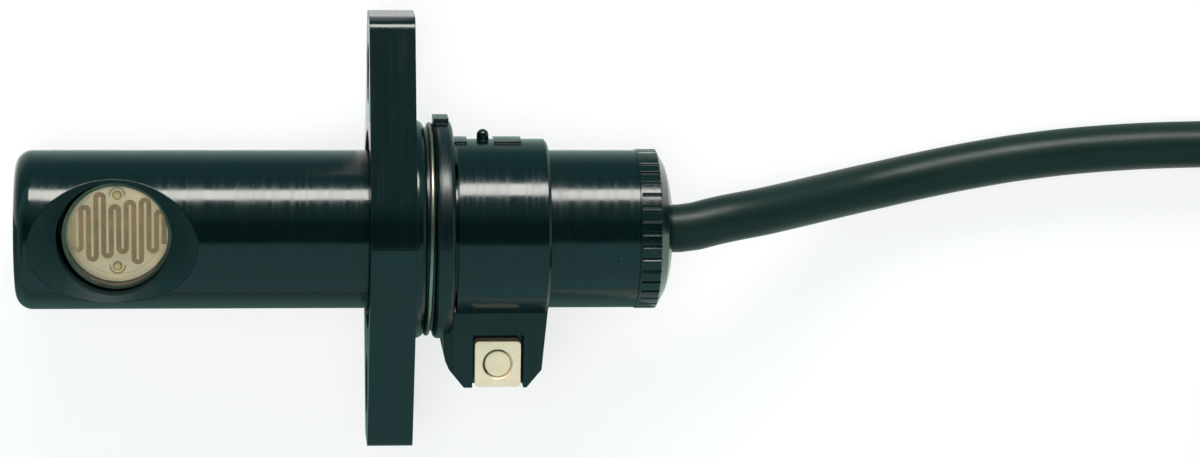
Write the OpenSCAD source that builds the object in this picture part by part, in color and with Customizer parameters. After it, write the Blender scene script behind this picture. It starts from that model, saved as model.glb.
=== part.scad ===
// Flame sensor for an oil burner: a side-looking light cell in a round probe tube, held by
// a slotted flange with a clamp behind it, on a fixed two-core lead.
// X runs along the probe towards the lead, Y along the flange, Z towards the window side.
// The origin is on the probe axis, in the front face of the flange.

/* [Probe tube] */
// Outside diameter of the probe tube
probe_d = 14; // [13.6:0.1:16]
// Length of the nose in front of the flange
nose_length = 30.8; // [29:0.1:45]
// Length of the tube behind the flange's front face
rear_length = 23.7; // [22:0.1:32]
// Wall of the tube round its long bore
tube_wall = 1.8; // [1.5:0.1:2.2]
// Rounding of the nose edge
nose_edge_r = 1.5; // [0.6:0.1:2]
// Turn of the probe in its clamp, about its own axis
probe_turn = 3; // [-10:0.5:10]

/* [Window] */
// Centre of the window, in front of the flange
window_front = 22.2; // [21.5:0.1:23]
// Diameter of the well that holds the cell
well_d = 10.1; // [9.9:0.05:10.4]
// Depth of the countersink round the well
sink_depth = 3.3; // [2.6:0.1:3.6]
// Half angle of the countersink
sink_angle = 35; // [30:1:42]
// Depth of the cell's rim below the countersink
cell_recess = 1.3; // [0.8:0.1:1.8]

/* [Light cell] */
// Diameter of the cell's can
cell_d = 9.6; // [9.2:0.05:9.8]
// Height of the can
cell_height = 5; // [4.2:0.1:5.4]
// Wall of the can
can_wall = 0.15; // [0.1:0.01:0.25]
// Thickness of the cell's glass
glass_t = 0.5; // [0.3:0.05:0.8]
// Depth of the ceramic disc's face below the can's rim
face_depth = 1.9; // [1.5:0.1:2.2]
// Thickness of the ceramic disc
ceramic_t = 1; // [0.6:0.1:1.2]
// Pitch of the light track's legs
track_pitch = 0.66; // [0.58:0.01:0.68]
// Width of the light track
track_w = 0.44; // [0.3:0.01:0.48]
// Distance between the two terminals
terminal_spacing = 6.4; // [5.8:0.1:6.8]
// Diameter of the cell's two wires
lead_d = 0.6; // [0.4:0.05:0.8]

/* [Flange] */
// Length of the flange over both ends
flange_length = 38.5; // [37.5:0.1:44]
// Width of the flange at the probe
flange_width = 20; // [19.8:0.1:24]
// Width of the flange at each end
flange_end_w = 6.8; // [6.4:0.1:14]
// Thickness of the flange
flange_t = 4; // [3:0.1:4.4]
// Rounding of the flange's corners
flange_corner_r = 1.5; // [1:0.1:2.8]
// Distance between the two screw slots
slot_spacing = 28; // [27.5:0.1:29]
// Width of each screw slot
slot_w = 4.4; // [3.2:0.1:4.8]
// Length of each screw slot
slot_length = 5.5; // [5:0.1:6]
// Outside diameter of the boss behind the flange
boss_d = 19.4; // [19:0.1:19.8]

/* [Clamp] */
// Length of the probe clamp, from the flange's front face
clamp_end = 15.8; // [15.4:0.1:18]
// Outside diameter of the clamp's band
band_d = 16; // [15.4:0.1:16.8]
// Outside diameter of the clamp's collar
collar_d = 19.4; // [18.9:0.1:19.8]
// Thickness of the collar
collar_t = 1.7; // [1.4:0.1:1.9]
// Gap between the two ears of the lug
ear_gap = 1; // [0.6:0.1:1.6]
// Width of the lug over both ears
lug_w = 8.4; // [7.6:0.1:9.4]
// Drop of the clamp screw below the probe axis
screw_drop = 11.4; // [11:0.1:12.5]
// Diameter of the clamp screw
screw_d = 2.5; // [2:0.1:3]
// Side of the square nut
nut_side = 4.05; // [3.8:0.05:4.3]
// Thickness of the square nut
nut_t = 1.7; // [1.2:0.1:2]
// Thickness of the spring ring's wire
ring_wire = 0.44; // [0.3:0.02:0.46]

/* [Lead and cap] */
// Diameter of the lead's sheath
cable_d = 4.3; // [3.8:0.1:4.6]
// Diameter of each core, with its insulation
core_d = 1.2; // [0.9:0.1:1.3]
// Length of the knurled band of the cap
knurl_length = 1.8; // [1.4:0.1:3]
// Length of the cap's domed end
dome_length = 1.4; // [1:0.1:2]
// Number of grooves round the cap
knurl_count = 38; // [24:1:42]
// Length of the cap's spigot inside the tube
spigot_length = 4.7; // [4:0.1:5.5]
// Distance between the free cores at their tips
core_splay = 3.2; // [2.6:0.1:4]

/* [Hidden] */
$fn = 96;
// Overrun of a cut past the surface it opens
eps = 0.2;

// Probe tube and its bores
probe_r = probe_d / 2;
bore_r = probe_r - tube_wall;
shoulder_step = 0.2;
cap_bore_r = bore_r + shoulder_step;
window_x = -window_front;
well_r = well_d / 2;
well_edge_z = probe_r - sink_depth;
bore_front = window_x + well_r + 1.6;
spigot_x = rear_length - spigot_length;
bush_collar_t = 1.7;
shoulder_x = spigot_x - bush_collar_t;

// Light cell, pushed against the rear of its well
cell_r = cell_d / 2;
cell_x = window_x + (well_r - cell_r);
rim_z = well_edge_z - cell_recess;
can_in_r = cell_r - can_wall;
can_lip = 0.15;
floor_z = rim_z - cell_height;
face_z = rim_z - face_depth;
base_top_z = face_z - ceramic_t;
glass_z = rim_z - can_lip - glass_t;
track_t = 0.06;
terminal_y = terminal_spacing / 2;
terminal_h = 0.18;

// Wires inside the tube
wire_z = floor_z - 0.75;
wire_slot_h = 1.5;
wire_y = 1.3;
splice_y = 1.6;
// Straight run of each wire past the can, its reach into the bore and into the crimp
wire_run = 2.8;
wire_reach = 2.2;
wire_end = 1.6;
crimp_length = 6;
crimp_wall = 0.45;
crimp_gap = 7;
crimp_x = bore_front + crimp_gap;
sleeve_wall = 0.3;
sleeve_front = 1.2;
sleeve_overhang = 2;
// Straight run of each core behind the crimp and before the sheath
core_run = 4;
core_gather = 3;
cable_r = cable_d / 2;
sheath_reach = 5;
cable_start_x = shoulder_x - sheath_reach;
core_r = core_d / 2;
core_y = core_r + 0.15;

// Flange, boss and ring groove
slot_r = slot_w / 2;
corner_y = flange_length / 2 - flange_corner_r;
corner_z = flange_end_w / 2 - flange_corner_r;
boss_r = boss_d / 2;
boss_length = 0.9;
boss_shoulder = 0.55;
lip_r = boss_r - 0.7;
groove_w = 0.8;
neck_r = lip_r - 0.55;
run_gap = 0.05;
snap_r = neck_r + 0.35;
snap_depth = 1;
boss_end = flange_t + boss_length;
collar_x = boss_end + groove_w;
collar_end = collar_x + collar_t;

// Clamp band, lug and its screw
clamp_bore_r = probe_r + run_gap;
band_r = max(band_d / 2, clamp_bore_r + 0.6);
collar_r = collar_d / 2;
flex_slot_x = collar_end + 0.05;
flex_slot_w = 0.25;
lug_front = collar_end - 0.75;
lug_bottom = -(screw_drop + nut_side / 2 + 0.07);
screw_x = (collar_end + clamp_end) / 2 - 0.17;
pocket_side = nut_side + 0.45;
pocket_depth = nut_t + 0.1;
nut_back_z = lug_w / 2 - pocket_depth;
head_r = screw_d * 0.9;
head_t = 1.5;

// Cap
cap_r = probe_r + 0.08;
cap_end = rear_length + knurl_length + dome_length;
groove_depth = 0.18;

// Light track, from the cell's centre: the tops of its legs in pairs, then the lows between
track_tops = [1.8, 2.95, 1.85, 2.25, 2.45, 1.4];
track_lows = [-2.25, -1.95, -1.55, -2.5, -1.5];
track_side_top = 1.1;
track_side_low = -1.4;
track_end_y = -1.2;
track_shift = 0.45;
track_first_x = track_shift - (2 * len(track_tops) - 1) * track_pitch / 2;

// Lead: centreline from the cap to the coil, which lies one tie's thickness above rest_z
rest_z = -flange_width / 2;
lie_z = rest_z + cable_r;
tie_t = 0.5;
coil_length = 77;
coil_side = 6.4;
cable_route = [
    [0, 0, 0], [0.8, 0, 0], [2.2, 0.18, -0.02], [4, 0.58, -0.3], [6, 0.88, -0.9],
    [8.5, 1.14, -1.9], [11.5, 1.5, -3.4], [14.5, 1.88, -4.9], [17.5, 2.3, -6.2],
    [20.5, 2.78, -7.1], [23.5, 3.34, -7.65], [27, 4.02, lie_z], [30, 4.57, lie_z],
    [33, 5.05, lie_z], [38, 5.65, lie_z], [44, 6.08, lie_z], [50, 6.27, lie_z],
    [56, 6.35, lie_z], [61, coil_side, lie_z + tie_t * 0.2],
    [66, coil_side, lie_z + tie_t * 0.7], [71, coil_side, lie_z + tie_t],
    [coil_length, coil_side, lie_z + tie_t],
];
// Coil of the rest of the lead: two flat turns, drawn as half turns that step inwards on
// its left, and a third that climbs from the inner one and lies in the valley on top
coil_r = 25.2;
turn_pitch = 1.02 * cable_d;
coil_x = cap_end + coil_length;
coil_y = coil_side - coil_r;
coil_z = lie_z + tie_t;
left_y = coil_y - turn_pitch / 2;
outer_left_r = coil_r - turn_pitch / 2;
inner_r = coil_r - turn_pitch;
inner_left_r = inner_r - turn_pitch / 2;
last_r = inner_r - turn_pitch;
valley_r = inner_r;
valley_z = 0.872 * cable_d;
climb_out = 1.5 * turn_pitch;
// Angle, share of the way out and rise in diameters of the lead as it climbs
climb = [
    [78, 0, 0.005], [60, 0.011, 0.07], [45, 0.018, 0.186], [30, 0.041, 0.349],
    [15, 0.087, 0.535], [0, 0.148, 0.698], [-15, 0.254, 0.849], [-30, 0.406, 0.965],
    [-45, 0.589, 1.023], [-60, 0.771, 1.012], [-75, 0.923, 0.953], [-90, 1, 0.884],
];
tie_angle = 235;
tie_width = 3;
tie_clear = 0.06;

// The lead's end, which lies on top of the coil
end_sleeve_length = 9;
end_sleeve_lip = 2;
end_sleeve_wall = 0.35;
sleeve_angle = -205;
sleeve_r = valley_r - 0.2;
sleeve_z = sqrt(pow(2 * cable_r + end_sleeve_wall, 2) - pow(turn_pitch / 2 - 0.2, 2)) + 0.02;
end_core_length = 11;
ferrule_length = 6;
ferrule_grip = 1.5;
ferrule_r = core_r + 0.45;
core_z = sqrt(pow(cable_r + ferrule_r, 2) - pow((turn_pitch - core_splay) / 2, 2)) + 0.02;

// Turns a profile of radius and length about the X axis
module turned() {
    rotate([0, 90, 0])
        rotate_extrude()
            children();
}

// Raises a profile drawn in Y and Z along X, from x
module raised(x, length) {
    translate([x, 0, 0])
        rotate([90, 0, 90])
            linear_extrude(length)
                children();
}

// Places what belongs to the probe at the turn it was clamped at
module in_probe() {
    rotate([probe_turn, 0, 0])
        children();
}

// Moves children from the origin to a, with their Z axis aimed at b
module aimed(a, b) {
    v = b - a;
    translate(a)
        rotate([0, acos(v[2] / norm(v)), atan2(v[1], v[0])])
            children();
}

// A rod between two points
module rod(a, b, r) {
    aimed(a, b)
        cylinder(r = r, h = norm(b - a));
}

// Unit vector from a to b
function towards(a, b) = (b - a) / norm(b - a);

// Points of the bend at point i of a route, an arc tangent to both straights
function bend_points(p, i, bend_r, steps = 3) =
    let (
        u = towards(p[i - 1], p[i]),
        v = towards(p[i], p[i + 1]),
        turn = acos(u * v),
        inward = (v - (u * v) * u) / norm(v - (u * v) * u),
        centre = p[i] - bend_r * tan(turn / 2) * u + bend_r * inward
    )
    [for (k = [0 : steps]) centre + bend_r * (sin(turn * k / steps) * u - cos(turn * k / steps) * inward)];

// A route with each inner point bent round
function rounded(p, bend_r) = [
    p[0],
    for (i = [1 : len(p) - 2]) each bend_points(p, i, bend_r),
    p[len(p) - 1],
];

// Unit tangent of a route at point i
function heading(p, i) = towards(p[max(i - 1, 0)], p[min(i + 1, len(p) - 1)]);

// Point j of the ring of n points round point i of a route, up being a way the route never takes
function ring_point(p, i, j, n, r, up) =
    let (
        t = heading(p, i),
        side = cross(up, t) / norm(cross(up, t)),
        top = cross(t, side),
        a = 360 * (j + 0.5) / n
    )
    p[i] + r * (cos(a) * side + sin(a) * top);

// A plain round tube swept along a route
module swept(p, r, n = 12, up = [0, 0, 1]) {
    last = len(p) - 1;
    polyhedron(
        points = [for (i = [0 : last]) for (j = [0 : n - 1]) ring_point(p, i, j, n, r, up)],
        faces = concat(
            [[for (j = [0 : n - 1]) j]],
            [[for (j = [n - 1 : -1 : 0]) last * n + j]],
            [for (i = [0 : last - 1]) for (j = [0 : n - 1])
                [i * n + (j + 1) % n, i * n + j, (i + 1) * n + j, (i + 1) * n + (j + 1) % n]]
        )
    );
}

// A round wire through a route of points, bent round at each inner one
module wire(p, r, bend_r, up) {
    swept(rounded(p, bend_r), r, 10, up);
}

// Outline of the tube's outside, as radius and length
module tube_outside() {
    translate([0, -nose_length + nose_edge_r])
        square([probe_r, nose_length + rear_length - nose_edge_r]);
    translate([0, -nose_length])
        square([probe_r - nose_edge_r, nose_edge_r + eps]);
    translate([probe_r - nose_edge_r, -nose_length + nose_edge_r])
        intersection() {
            circle(r = nose_edge_r);
            translate([0, -nose_edge_r])
                square(nose_edge_r);
        }
}

// Moulded tube with the well for the cell and its countersink
module probe_tube() {
    color("#1b2b2b")
        in_probe()
            difference() {
                turned()
                    tube_outside();
                translate([bore_front, 0, 0])
                    rotate([0, 90, 0])
                        cylinder(r = bore_r, h = shoulder_x - bore_front + eps);
                translate([shoulder_x, 0, 0])
                    rotate([0, 90, 0])
                        cylinder(r = cap_bore_r, h = spigot_length + bush_collar_t + eps);
                translate([window_x, 0, floor_z - 0.05])
                    cylinder(r = well_r, h = probe_r + cell_height);
                translate([window_x, 0, well_edge_z])
                    cylinder(
                        r1 = well_r,
                        r2 = well_r + (sink_depth + 1) * tan(sink_angle),
                        h = sink_depth + 1
                    );
                wire_passage();
            }
}

// Space under the cell and through the web, for the two wires
module wire_passage() {
    passage_w = 2 * (wire_y + lead_d);
    translate([cell_x - lead_d, -terminal_y - lead_d, floor_z - wire_slot_h])
        cube([3 * lead_d, 2 * (terminal_y + lead_d), wire_slot_h + eps]);
    translate([cell_x, -terminal_y - lead_d, floor_z - wire_slot_h])
        cube([well_r - 1.5, 2 * (terminal_y + lead_d), wire_slot_h + eps]);
    translate([cell_x, -passage_w / 2, floor_z - wire_slot_h])
        cube([bore_front - cell_x + eps, passage_w, wire_slot_h + eps]);
}

// Thin metal can with its rim turned in over the glass
module cell_can() {
    color("#b8b2a0")
        in_probe()
            translate([cell_x, 0, floor_z])
                difference() {
                    cylinder(r = cell_r, h = cell_height);
                    translate([0, 0, -eps])
                        cylinder(r = can_in_r, h = cell_height - can_lip + eps);
                    cylinder(r = can_in_r - 0.2, h = cell_height + eps);
                }
}

// Header that closes the can, with a hole for each wire
module cell_base() {
    color("#8d8a7c")
        in_probe()
            difference() {
                translate([cell_x, 0, floor_z])
                    cylinder(r = can_in_r, h = base_top_z - floor_z);
                wire_holes();
            }
}

// Holes that the two wires pass through
module wire_holes() {
    for (side = [-1, 1])
        translate([cell_x, side * terminal_y, floor_z - eps])
            cylinder(d = lead_d, h = cell_height);
}

// Clear disc under the rim
module cell_glass() {
    color("#e6efe6", 0.4)
        in_probe()
            translate([cell_x, 0, glass_z])
                cylinder(r = can_in_r, h = glass_t);
}

// White ceramic disc that carries the light track
module cell_ceramic() {
    color("#d8cdae")
        in_probe()
            difference() {
                translate([cell_x, 0, base_top_z])
                    cylinder(r = can_in_r - 0.05, h = ceramic_t);
                wire_holes();
            }
}

// One straight leg of the track
module track_leg(x, y0, y1) {
    translate([x - track_w / 2, y0])
        square([track_w, y1 - y0]);
}

// One half-round turn of the track, up or down, joining two legs
module track_turn(x, y, up) {
    translate([x + track_pitch / 2, y])
        intersection() {
            difference() {
                circle(d = track_pitch + track_w);
                circle(d = track_pitch - track_w);
            }
            translate([-track_pitch, up > 0 ? 0 : -track_pitch])
                square([2 * track_pitch, track_pitch]);
        }
}

// Plan of the winding light track
module track_outline() {
    tops = len(track_tops);
    lows = concat([track_side_low], track_lows, [track_end_y]);
    for (i = [0 : tops - 1]) {
        x = track_first_x + 2 * i * track_pitch;
        track_leg(x, lows[i], track_tops[i]);
        track_leg(x + track_pitch, lows[i + 1], track_tops[i]);
        track_turn(x, track_tops[i], 1);
        track_turn(x - track_pitch, lows[i], -1);
    }
    track_leg(track_first_x - track_pitch, track_side_low, track_side_top);
}

// The track itself, baked onto the ceramic
module cell_track() {
    color("#96795b")
        in_probe()
            translate([cell_x, 0, face_z])
                linear_extrude(track_t)
                    track_outline();
}

// One wire of the cell, from its terminal to the crimp
module cell_lead(side) {
    start = [cell_x, side * terminal_y, face_z + terminal_h];
    color("#c9b98f")
        in_probe()
            wire([
                start,
                [cell_x, side * terminal_y, wire_z],
                [cell_x + wire_run, side * wire_y, wire_z],
                [bore_front + wire_reach, side * wire_y, wire_z],
                [crimp_x - wire_end, side * splice_y, 0],
                [crimp_x + crimp_length / 2, side * splice_y, 0],
            ], lead_d / 2, 1.2 * lead_d, [0, 1, 0]);
}

module cell_lead_upper() {
    cell_lead(1);
}

module cell_lead_lower() {
    cell_lead(-1);
}

// Crimped splice that joins a wire of the cell to a core of the lead
module crimp(side) {
    color("#b5a06a")
        in_probe()
            translate([crimp_x, side * splice_y, 0])
                rotate([0, 90, 0])
                    difference() {
                        cylinder(d = lead_d + 2 * crimp_wall, h = crimp_length);
                        translate([0, 0, -eps])
                            cylinder(d = lead_d, h = crimp_length + 2 * eps);
                    }
}

module crimp_upper() {
    crimp(1);
}

module crimp_lower() {
    crimp(-1);
}

// Shrunk sleeve over a crimp
module crimp_sleeve(side) {
    inner_d = max(lead_d + 2 * crimp_wall, core_d);
    length = crimp_length + sleeve_front + sleeve_overhang;
    color("#2a2a2a")
        in_probe()
            translate([crimp_x - sleeve_front, side * splice_y, 0])
                rotate([0, 90, 0])
                    difference() {
                        cylinder(d = inner_d + 2 * sleeve_wall, h = length);
                        translate([0, 0, -eps])
                            cylinder(d = inner_d, h = length + 2 * eps);
                    }
}

module crimp_sleeve_upper() {
    crimp_sleeve(1);
}

module crimp_sleeve_lower() {
    crimp_sleeve(-1);
}

// One core between the crimp and the lead's sheath, its bare end in the crimp
module inner_core(side, tint) {
    bare_x = crimp_x + crimp_length;
    color(tint)
        in_probe() {
            rod([crimp_x + crimp_length / 2, side * splice_y, 0], [bare_x, side * splice_y, 0], lead_d / 2);
            wire([
                [bare_x, side * splice_y, 0],
                [bare_x + core_run, side * splice_y, 0],
                [cable_start_x - core_gather, side * core_y, 0],
                [cable_start_x, side * core_y, 0],
            ], core_r, 2.5 * core_r, [0, 0, 1]);
        }
}

module inner_core_upper() {
    inner_core(1, "#7a4a2c");
}

module inner_core_lower() {
    inner_core(-1, "#2f5f9a");
}

// End of the sheath inside the tube, held by the bush
module cable_inner_end() {
    color("#20302c")
        translate([cable_start_x, 0, 0])
            rotate([0, 90, 0])
                cylinder(r = cable_r, h = cap_end - cable_start_x);
}

// Rubber bush that the cap squeezes round the lead
module cable_bush() {
    color("#2b2b2b")
        turned()
            difference() {
                union() {
                    translate([0, shoulder_x])
                        square([cap_bore_r - 0.1, bush_collar_t]);
                    translate([0, spigot_x - eps])
                        square([cable_r + 1.4, spigot_length - 1 + eps]);
                }
                translate([-1, shoulder_x - eps])
                    square([1 + cable_r, rear_length]);
            }
}

// Outline of the cap, as radius and length
module cap_outside() {
    dome_x = rear_length + knurl_length;
    translate([0, spigot_x])
        square([cap_bore_r - run_gap, spigot_length + eps]);
    polygon([
        [0, rear_length],
        [cap_r, rear_length],
        [cap_r, dome_x],
        [cap_r - 1.35, dome_x + dome_length * 0.55],
        [cap_r - 2.6, dome_x + dome_length * 0.82],
        [cable_r + 0.9, dome_x + dome_length],
        [0, dome_x + dome_length],
    ]);
}

// Knurled cap that closes the tube round the lead
module cable_cap() {
    color("#1c2d2b")
        difference() {
            turned()
                difference() {
                    cap_outside();
                    translate([0, spigot_x - eps])
                        square([cable_r + 1.5, spigot_length - 0.8 + eps]);
                    translate([0, spigot_x - eps])
                        square([cable_r + 0.2, cap_end]);
                    polygon([
                        [0, cap_end + eps],
                        [cable_r + 0.75, cap_end + eps],
                        [cable_r + 0.2, cap_end - 0.5],
                        [0, cap_end - 0.5],
                    ]);
                }
            for (i = [0 : knurl_count - 1])
                rotate([360 * (i + 0.25) / knurl_count, 0, 0])
                    translate([rear_length + 0.15, 0, cap_r])
                        rotate([45, 0, 0])
                            translate([0, -groove_depth * 0.7071, -groove_depth * 0.7071])
                                cube([knurl_length + 2, groove_depth * 1.4142, groove_depth * 1.4142]);
        }
}

// Angle at which the flange's straight side leaves its round middle
function side_angle() =
    atan2(corner_z, corner_y)
    + acos((flange_width / 2 - flange_corner_r) / norm([corner_y, corner_z]));

// Outline of the flange in Y and Z: a round middle with straight tapering arms
module flange_outline() {
    a = side_angle();
    middle_r = flange_width / 2;
    tip_y = flange_length / 2;
    circle(r = middle_r);
    for (side = [0, 180])
        rotate(side)
            polygon([
                [0, -middle_r * 0.5],
                [middle_r * cos(a), -middle_r * sin(a)],
                [corner_y + flange_corner_r * cos(a), -corner_z - flange_corner_r * sin(a)],
                [tip_y, -corner_z],
                [tip_y, corner_z],
                [corner_y + flange_corner_r * cos(a), corner_z + flange_corner_r * sin(a)],
                [middle_r * cos(a), middle_r * sin(a)],
                [0, middle_r * 0.5],
            ]);
    for (y = [-corner_y, corner_y])
        for (z = [-corner_z, corner_z])
            translate([y, z])
                circle(r = flange_corner_r);
}

// One screw slot, long in Y
module slot_outline() {
    half = slot_length / 2 - slot_r;
    translate([-half, -slot_r])
        square([2 * half, slot_w]);
    for (y = [-half, half])
        translate([y, 0])
            circle(r = slot_r);
}

// Boss behind the flange, with the lip that the spring ring sits on
module boss_profile() {
    polygon([
        [0, flange_t - 1],
        [boss_r, flange_t - 1],
        [boss_r, flange_t + boss_length * 0.2],
        [boss_r - boss_shoulder * 0.25, flange_t + boss_length * 0.6],
        [boss_r - boss_shoulder * 0.6, flange_t + boss_length * 0.88],
        [boss_r - boss_shoulder, boss_end],
        [lip_r, boss_end],
        [lip_r, collar_x - run_gap],
        [0, collar_x - run_gap],
    ]);
}

// Slotted flange that is screwed to the burner
module mounting_flange() {
    color("#1d2f2e")
        difference() {
            union() {
                raised(0, flange_t)
                    flange_outline();
                turned()
                    boss_profile();
            }
            translate([-eps, 0, 0])
                rotate([0, 90, 0])
                    cylinder(r = neck_r + run_gap, h = collar_x + 1);
            translate([-eps, 0, 0])
                rotate([0, 90, 0])
                    cylinder(r = snap_r + run_gap, h = snap_depth + eps + run_gap);
            for (y = [-slot_spacing / 2, slot_spacing / 2])
                raised(-eps, flange_t + 2 * eps)
                    translate([y, 0])
                        slot_outline();
        }
}

// Split spring ring between the flange's boss and the clamp's collar
module spring_ring() {
    ring_r = lip_r + ring_wire / 2 + 0.03;
    color("#d8d6cc")
        translate([boss_end + groove_w / 2, 0, 0])
            rotate([0, 0, -0.9])
                rotate([0, 90, 0])
                    rotate([0, 0, 28])
                        rotate_extrude(angle = 344)
                            translate([ring_r, 0])
                                circle(d = ring_wire);
}

// Outside of the clamp's turned part, as radius and length
module clamp_profile() {
    neck_front = 0.3;
    polygon([
        [0, neck_front],
        [neck_r, neck_front],
        [snap_r, neck_front + 0.3],
        [snap_r, snap_depth],
        [neck_r, snap_depth],
        [neck_r, collar_x],
        [collar_r - 0.45, collar_x],
        [collar_r - 0.2, collar_x + 0.08],
        [collar_r - 0.05, collar_x + 0.25],
        [collar_r, collar_x + 0.5],
        [collar_r, collar_end - 0.6],
        [collar_r - 0.06, collar_end - 0.34],
        [collar_r - 0.24, collar_end - 0.12],
        [collar_r - 0.55, collar_end],
        [band_r + 0.25, collar_end],
        [band_r + 0.05, collar_end + 0.3],
        [band_r, collar_end + 0.4],
        [band_r, clamp_end - 0.25],
        [band_r - 0.25, clamp_end],
        [0, clamp_end],
    ]);
}

// Lug with two ears, as seen along Z
module lug_outline() {
    foot_front = screw_x - pocket_side / 2 - 0.75;
    foot_rear = screw_x + pocket_side / 2 + 0.3;
    polygon([
        [lug_front, -clamp_bore_r + 0.6],
        [lug_front, -screw_drop + 1],
        [lug_front + 0.12, -screw_drop + 0.3],
        [lug_front + 0.45, -screw_drop - 0.45],
        [foot_front, lug_bottom],
        [foot_rear, lug_bottom],
        [clamp_end - 0.5, -screw_drop - 0.5],
        [clamp_end, -clamp_bore_r + 0.6],
    ]);
}

// Raised index pip and two low pads on top of the band, and a small tab on the collar
module index_marks() {
    pip_x = collar_end + 2.73;
    pip_r = 0.53;
    tab_h = 0.4;
    translate([collar_x, collar_r - 1, -1.2])
        cube([collar_t - 0.35, 1 + tab_h, 2.4]);
    translate([pip_x, band_r - 0.4, 0])
        rotate([-90, 0, 0])
            cylinder(r = pip_r, h = 0.4 + 0.45);
    translate([pip_x, band_r + 0.45, 0])
        sphere(r = pip_r);
    intersection() {
        translate([collar_end, 0, 0])
            rotate([0, 90, 0])
                cylinder(r = band_r + 0.22, h = clamp_end - collar_end - 1);
        union() {
            translate([pip_x + 0.95, band_r - 0.5, -1.4])
                cube([2.4, 2, 2.8]);
            translate([collar_end, band_r - 0.5, -1.4])
                cube([1.3, 2, 2.8]);
        }
    }
}

// Groove behind the collar that lets the band flex, on both sides of the lug
module flex_slots() {
    for (side = [0, 1])
        mirror([0, 0, side])
            translate([flex_slot_x, 0, 0])
                rotate([0, 90, 0])
                    rotate([0, 0, 125])
                        rotate_extrude(angle = 110)
                            translate([clamp_bore_r - eps, 0])
                                square([band_r + 2 - clamp_bore_r, flex_slot_w]);
}

// Clamp: neck through the flange, collar, split band and lug, moulded in one
module clamp_sleeve() {
    color("#1b2c2c")
        difference() {
            union() {
                turned()
                    clamp_profile();
                translate([0, 0, -lug_w / 2])
                    linear_extrude(lug_w)
                        lug_outline();
                index_marks();
            }
            translate([-eps, 0, 0])
                rotate([0, 90, 0])
                    cylinder(r = clamp_bore_r, h = clamp_end + 2 * eps);
            flex_slots();
            translate([collar_end + 0.05, lug_bottom - eps, -ear_gap / 2])
                cube([clamp_end, -lug_bottom - clamp_bore_r + 1, ear_gap]);
            translate([lug_front - eps, lug_bottom - eps, -ear_gap / 2])
                cube([collar_t, -lug_bottom - collar_r, ear_gap]);
            translate([screw_x - pocket_side / 2, lug_bottom - eps, nut_back_z])
                cube([pocket_side, -lug_bottom - screw_drop + pocket_side / 2 + 0.4 + eps, lug_w]);
            translate([screw_x, -screw_drop, -lug_w])
                cylinder(d = screw_d + 0.2, h = 2 * lug_w);
        }
}

// Square nut, its corners rounded
module clamp_nut() {
    corner_r = 0.35;
    inner = nut_side - 2 * corner_r;
    color("#d9d3bf")
        translate([screw_x, -screw_drop, nut_back_z])
            difference() {
                linear_extrude(nut_t)
                    union() {
                        square([nut_side, inner], center = true);
                        square([inner, nut_side], center = true);
                        for (x = [-inner / 2, inner / 2])
                            for (y = [-inner / 2, inner / 2])
                                translate([x, y])
                                    circle(r = corner_r);
                    }
                translate([0, 0, -eps])
                    cylinder(d = screw_d, h = nut_t + 2 * eps);
                translate([0, 0, nut_t - 0.12])
                    cylinder(r1 = screw_d / 2, r2 = screw_d / 2 + 0.17, h = 0.17);
            }
}

// Slotted clamp screw, its head on the far ear and its tip just inside the nut
module clamp_screw() {
    tip_z = nut_back_z + nut_t - 0.15;
    color("#cfc9b4")
        translate([screw_x, -screw_drop, 0])
            difference() {
                union() {
                    translate([0, 0, -lug_w / 2 - eps])
                        cylinder(d = screw_d, h = tip_z - 0.2 + lug_w / 2 + eps);
                    translate([0, 0, tip_z - 0.2])
                        cylinder(r1 = screw_d / 2, r2 = screw_d / 2 - 0.15, h = 0.2);
                    translate([0, 0, -lug_w / 2 - head_t])
                        cylinder(r = head_r, h = head_t);
                    translate([0, 0, -lug_w / 2 - head_t - 0.25])
                        cylinder(r1 = head_r - 0.3, r2 = head_r, h = 0.25);
                }
                translate([-head_r - eps, -0.3, -lug_w / 2 - head_t - 0.25 - eps])
                    cube([2 * (head_r + eps), 0.6, 0.9 + eps]);
            }
}

// Lead from the cap to the coil
module sensor_cable() {
    color("#22332e")
        translate([cap_end, 0, 0])
            swept(cable_route, cable_r);
}

// Part of a round turn of the lead, about a point in the coil's middle
module coil_turn(y, r, start, sweep) {
    translate([coil_x, y, coil_z])
        rotate([0, 0, start])
            rotate_extrude(angle = sweep)
                translate([r, 0])
                    circle(r = cable_r, $fn = 48);
}

// Coil of the lead's spare length
module cable_coil() {
    color("#22332e")
        union() {
            coil_turn(coil_y, coil_r, -90, 180);
            coil_turn(left_y, outer_left_r, 90, 180);
            coil_turn(coil_y, inner_r, -90, 180);
            coil_turn(left_y, inner_left_r, 90, 180);
        }
}

// Points on the coil by angle, radius and height: on its right half, then on its left
function on_right(a, r, z) = [coil_x + r * cos(a), coil_y + r * sin(a), coil_z + z];

function on_left(a, r, z) = [coil_x + r * cos(a), left_y + r * sin(a), coil_z + z];

// Point beside the middle of the end sleeve: along the lead and outwards
function by_sleeve(along, out) =
    on_left(sleeve_angle, sleeve_r + out, sleeve_z)
    + along * [sin(sleeve_angle), -cos(sleeve_angle), 0];

// Angle on the coil of a point at a length past the middle of the end sleeve
function angle_past(length) = sleeve_angle - length / valley_r * 180 / PI;

// Centreline of the third turn, from the inner turn's end to the end of the sheath
function tail_route() =
    let (half = end_sleeve_length / 2)
    concat(
        [on_right(90, last_r, 0), on_right(90, last_r, 0) + [0.4, 0, 0]],
        [for (c = climb) on_right(c[0], last_r + c[1] * climb_out, c[2] * cable_d)],
        [for (a = [-100 : -10 : -170]) on_left(a, valley_r, valley_z)],
        [on_left(-180, valley_r + 0.05, (valley_z + sleeve_z) / 2)],
        [for (along = [-half - 0.6, 0, half - end_sleeve_lip]) by_sleeve(along, 0)]
    );

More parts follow.
